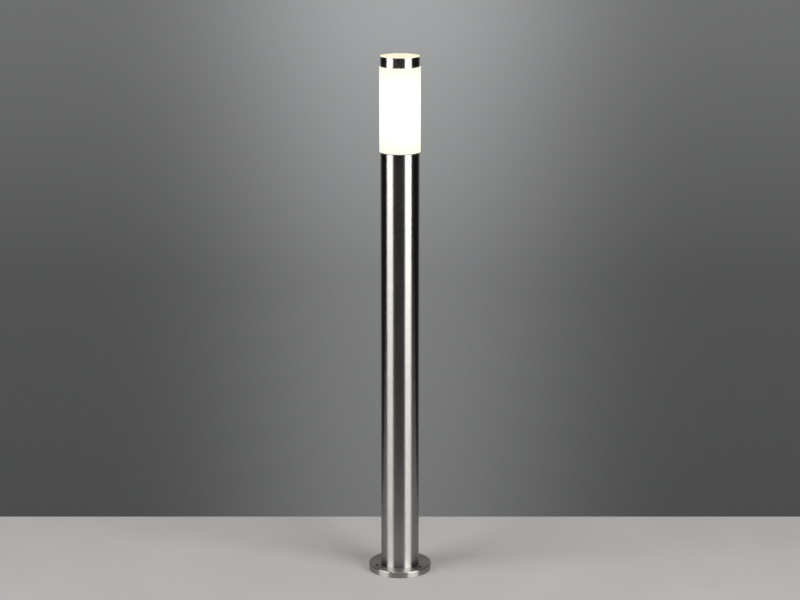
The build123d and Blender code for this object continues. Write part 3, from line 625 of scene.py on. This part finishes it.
def build_head_top():
    outline = ring_outline("trim_ring", wall=1.2, inner_rounding=0.15, outer_rounding=0.4, arc_steps=4)
    place(lathed(outline, FINE_SEGMENTS), "head_band", "trim_ring")

    outer = radius_of("top_lens")
    disc_low = heights("trim_ring")[1]
    spigot_outer, spigot_inner = 34.2, 31.2
    outline = rounded_outline([
        (spigot_inner, lens_low, 0.4), (spigot_outer, lens_low, 0.4), (spigot_outer, disc_low, 0.0),
        (outer, disc_low, 0.3), (outer, lens_high, 0.8),
    ], 6)
    under = [Vector((0, disc_low)), Vector((spigot_inner, disc_low))]
    top = [Vector((outer * 0.5, lens_high)), Vector((0, lens_high))]
    place(lathed(under + outline + top, FINE_SEGMENTS), "lit_disc", "top_lens")

    outline = ring_outline("lens_seal", wall=2.3, inner_rounding=0.2, outer_rounding=0.2, arc_steps=3)
    place(lathed(outline), "disc_gasket", "lens_seal")


# ---- adapter and seals --------------------------------------------------------------------------
def build_adapter():
    low, high = heights("adapter")
    outer = radius_of("adapter")
    inner, groove = 33.0, 34.7
    floor_thickness, half_groove = 4, 1.5
    floor_top = low + floor_thickness
    ring_height = sum(heights("adapter_o_ring")) / 2
    groove_low, groove_high = ring_height - half_groove, ring_height + half_groove
    outline = rounded_outline([
        (outer, low, 0.5), (outer, groove_low, 0.2), (groove, groove_low, 0.25),
        (groove, groove_high, 0.25), (outer, groove_high, 0.2), (outer, high, 0.9),
        (inner, high, 0.6), (inner, floor_top, 1.2),
    ], 4)
    closed = [Vector((0, low))] + outline + [Vector((0, floor_top))]

    screw_circle, bracket_x, gland_y = 29, 24, 12
    screw_hole, bracket_hole, gland_hole = 2.1, 1.55, 8.0
    start, end = low - DRILL_PAST, floor_top + DRILL_PAST
    drills = [straight_drill(x, y, screw_hole, start, end) for x, y in around(screw_circle, 3, 30)]
    drills += [straight_drill(x, 0, bracket_hole, start, end) for x in (-bracket_x, bracket_x)]
    drills.append(straight_drill(0, gland_y, gland_hole, start, end, 48))
    place(lathed(closed), "head_adapter", "adapter", drills)

    section, section_steps = 1.2, 24
    centre = radius_of("adapter_o_ring") - section
    angles = [TURN * i / section_steps for i in range(section_steps)]
    circle = [Vector((centre + section * math.cos(a), ring_height + section * math.sin(a))) for a in angles]
    place(lathed(circle, FINE_SEGMENTS), "o_ring", "adapter_o_ring")

    outline = ring_outline("head_gasket", wall=1.7, inner_rounding=0.2, outer_rounding=0.35, arc_steps=4)
    place(lathed(outline, FINE_SEGMENTS), "tube_end_gasket", "head_gasket")


# ---- lampholder and bulb ------------------------------------------------------------------------
def build_lampholder():
    low, high = heights("lampholder_body")
    outer = radius_of("lampholder_body")
    floor = low + 12
    waist, cavity = 18.0, 14.6
    lip = waist + 1.5
    outline = rounded_outline([
        (outer, low, 0.8), (outer, floor, 1.2), (waist, floor + 3, 1.0), (waist, high - 5, 0.6),
        (lip, high - 4, 0.5), (lip, high, 1.1), (cavity, high, 0.8), (cavity, floor, 1.0),
    ], 5)
    closed = [Vector((0, low))] + outline + [Vector((0, floor))]

    core_hole, core_x, core_y = 1.6, 6.5, 10.2
    screw_hole, screw_x, screw_depth = 1.52, 10, 9
    start = low - DRILL_PAST
    drills = [straight_drill(x, core_y, core_hole, start, floor + DRILL_PAST) for x in (-core_x, core_x)]
    drills += [straight_drill(x, 0, screw_hole, start, low + screw_depth) for x in (-screw_x, screw_x)]
    place(lathed(closed), "porcelain_holder", "lampholder_body", drills)

    sleeve = threaded(*heights("lampholder_shell"), crest=14.35, root=13.75, wall=0.22)
    place(sleeve, "holder_thread", "lampholder_shell")


def build_bulb():
    sleeve = threaded(*heights("bulb_cap"), crest=13.2, root=12.35, wall=0.25)
    place(sleeve, "cap_thread", "bulb_cap")

    globe = radius_of("bulb_envelope")
    wall = 1.2
    centre = globe_high - globe
    rise = centre - globe_low
    outer_arc = arc_to_top(globe, centre, -math.asin(rise / globe))
    inner_arc = arc_to_top(globe - wall, centre, -math.asin(rise / (globe - wall)))
    inner_top, outer_top = Vector((0, centre + globe - wall)), Vector((0, centre + globe))
    place(lathed([inner_top] + inner_arc[::-1] + outer_arc + [outer_top]), "bulb_globe", "bulb_envelope")


build_tube()
build_foot()
build_diffuser()
build_head_top()
build_adapter()
build_lampholder()
build_bulb()


# ---- studio -------------------------------------------------------------------------------------
VIEW_AZIMUTH = math.radians(7)
CAMERA_DISTANCE = 3.9
CAMERA_HEIGHT = 1.50
AIM_HEIGHT = 0.558
LENS = 91.8
SENSOR_WIDTH = 36.0

SOFTBOX_DISTANCE = 3.0
SOFTBOX_LOW, SOFTBOX_HIGH = 0.35, 3.5
SOFTBOX_COLOUR = (1.0, 0.975, 0.95)

towards_camera = Vector((math.sin(VIEW_AZIMUTH), -math.cos(VIEW_AZIMUTH), 0))
screen_left = Vector((-math.cos(VIEW_AZIMUTH), -math.sin(VIEW_AZIMUTH), 0))


def aim(obj, target):
    """Point an object's -Z axis at a target."""
    obj.rotation_euler = (Vector(target) - obj.location).to_track_quat("-Z", "Y").to_euler()


def add_camera():
    data = bpy.data.cameras.new("camera")
    data.lens = LENS
    data.sensor_width = SENSOR_WIDTH
    camera = bpy.data.objects.new("camera", data)
    camera.location = towards_camera * CAMERA_DISTANCE + Vector((0, 0, CAMERA_HEIGHT))
    bpy.context.scene.collection.objects.link(camera)
    aim(camera, (0, 0, AIM_HEIGHT))
    bpy.context.scene.camera = camera


def add_softbox(name, side_angle, width, power):
    """Tall upright light; side_angle is from the camera's direction, positive to the picture's left."""
    data = bpy.data.lights.new(name, "AREA")
    data.shape = "RECTANGLE"
    data.size = width
    data.size_y = SOFTBOX_HIGH - SOFTBOX_LOW
    data.energy = power
    data.color = SOFTBOX_COLOUR
    light = bpy.data.objects.new(name, data)
    angle = math.radians(side_angle)
    way = towards_camera * math.cos(angle) + screen_left * math.sin(angle)
    middle = (SOFTBOX_LOW + SOFTBOX_HIGH) / 2
    light.location = way * SOFTBOX_DISTANCE + Vector((0, 0, middle))
    bpy.context.scene.collection.objects.link(light)
    aim(light, (0, 0, middle))
    light.visible_camera = False


def add_overhead(height, side, power, colour):
    """Square light straight above the lamp, for the floor."""
    data = bpy.data.lights.new("overhead_softbox", "AREA")
    data.shape = "SQUARE"
    data.size = side
    data.energy = power
    data.color = colour
    light = bpy.data.objects.new("overhead_softbox", data)
    light.location = (0, 0, height)
    bpy.context.scene.collection.objects.link(light)
    light.visible_camera = False


def add_floor():
    """Plain pale floor whose far edge lies a little behind the lamp."""
    half_width, front, back = 1.0, 0.38, 0.303
    shape = bmesh.new()
    right = -screen_left
    away = -towards_camera
    corners = [right * x + away * y for x, y in ((-half_width, -front), (half_width, -front),
                                                 (half_width, back), (-half_width, back))]
    shape.faces.new([shape.verts.new(c) for c in corners])
    mesh = bpy.data.meshes.new("floor")
    shape.to_mesh(mesh)
    shape.free()
    floor = bpy.data.objects.new("floor", mesh)
    bpy.context.scene.collection.objects.link(floor)
    s = Shader("floor_paint")
    mottle = s.noise(s.coords, 5.0, 3.0)
    tone = s.ramp(mottle, (0.3, (0.375, 0.375, 0.375)), (0.7, (0.395, 0.395, 0.395)))
    mesh.materials.append(s.finish(
        Base_Color=tone, Roughness=s.remap(mottle, 0.3, 0.7, 0.62, 0.70), Specular_IOR_Level=0.3,
        Normal=s.bump(s.noise(s.coords, 300.0), 0.0001, 0.2)))


def add_surroundings():
    """Dim grey room for light and reflections; the camera sees a soft grey glow behind the lamp."""
    glow_reach, glow_fall = math.radians(12), 6.0
    glow_dim, glow_bright = 0.42, 1.02
    horizon_low, horizon_high = -0.34, 0.05
    levels = ((0.0, 0.17), (0.3, 0.205), (0.6, 0.36), (1.0, 0.46))
    room_reach = math.radians(45)
    room_dim, room_bright = 0.015, 0.28

    world = bpy.data.worlds.new("studio")
    bpy.context.scene.world = world
    world.use_nodes = True
    n = Nodes(world.node_tree)
    n.tree.nodes.clear()

    direction = n.add("ShaderNodeTexCoord").outputs["Generated"]
    height = n.add("ShaderNodeSeparateXYZ", {"Vector": direction}).outputs["Z"]
    flat = n.add("ShaderNodeVectorMath", {0: direction, 1: (1, 1, 0)}, operation="MULTIPLY").outputs[0]
    unit = n.add("ShaderNodeVectorMath", {0: flat}, operation="NORMALIZE").outputs[0]
    facing = n.add("ShaderNodeVectorMath", {0: unit, 1: -towards_camera},
                   operation="DOT_PRODUCT").outputs["Value"]

    near = n.remap(facing, math.cos(glow_reach), 1.0, 0.0, 1.0)
    glow = n.remap(n.math("POWER", near, glow_fall), 0.0, 1.0, glow_dim, glow_bright)
    upward = n.remap(height, horizon_low, horizon_high, 0.0, 1.0)
    shade = n.ramp(upward, *((spot, (level * 0.99, level, level * 1.01)) for spot, level in levels))
    seen = n.add("ShaderNodeBackground", {"Color": shade, "Strength": glow}).outputs[0]

    behind = n.remap(facing, math.cos(room_reach), 1.0, room_dim, room_bright)
    room = n.add("ShaderNodeBackground", {"Color": (1.0, 0.98, 0.95, 1), "Strength": behind}).outputs[0]
    by_camera = n.add("ShaderNodeLightPath").outputs["Is Camera Ray"]
    choice = n.add("ShaderNodeMixShader", {0: by_camera, 1: room, 2: seen}).outputs[0]
    n.add("ShaderNodeOutputWorld", {"Surface": choice})


bpy.context.scene.view_settings.view_transform = "Standard"
add_camera()
add_floor()
add_surroundings()
add_softbox("left_softbox", side_angle=62.5, width=2.17, power=120)
add_softbox("right_softbox", side_angle=-50.3, width=2.15, power=146)
add_overhead(height=2.9, side=1.6, power=31, colour=(1.0, 0.99, 0.975))
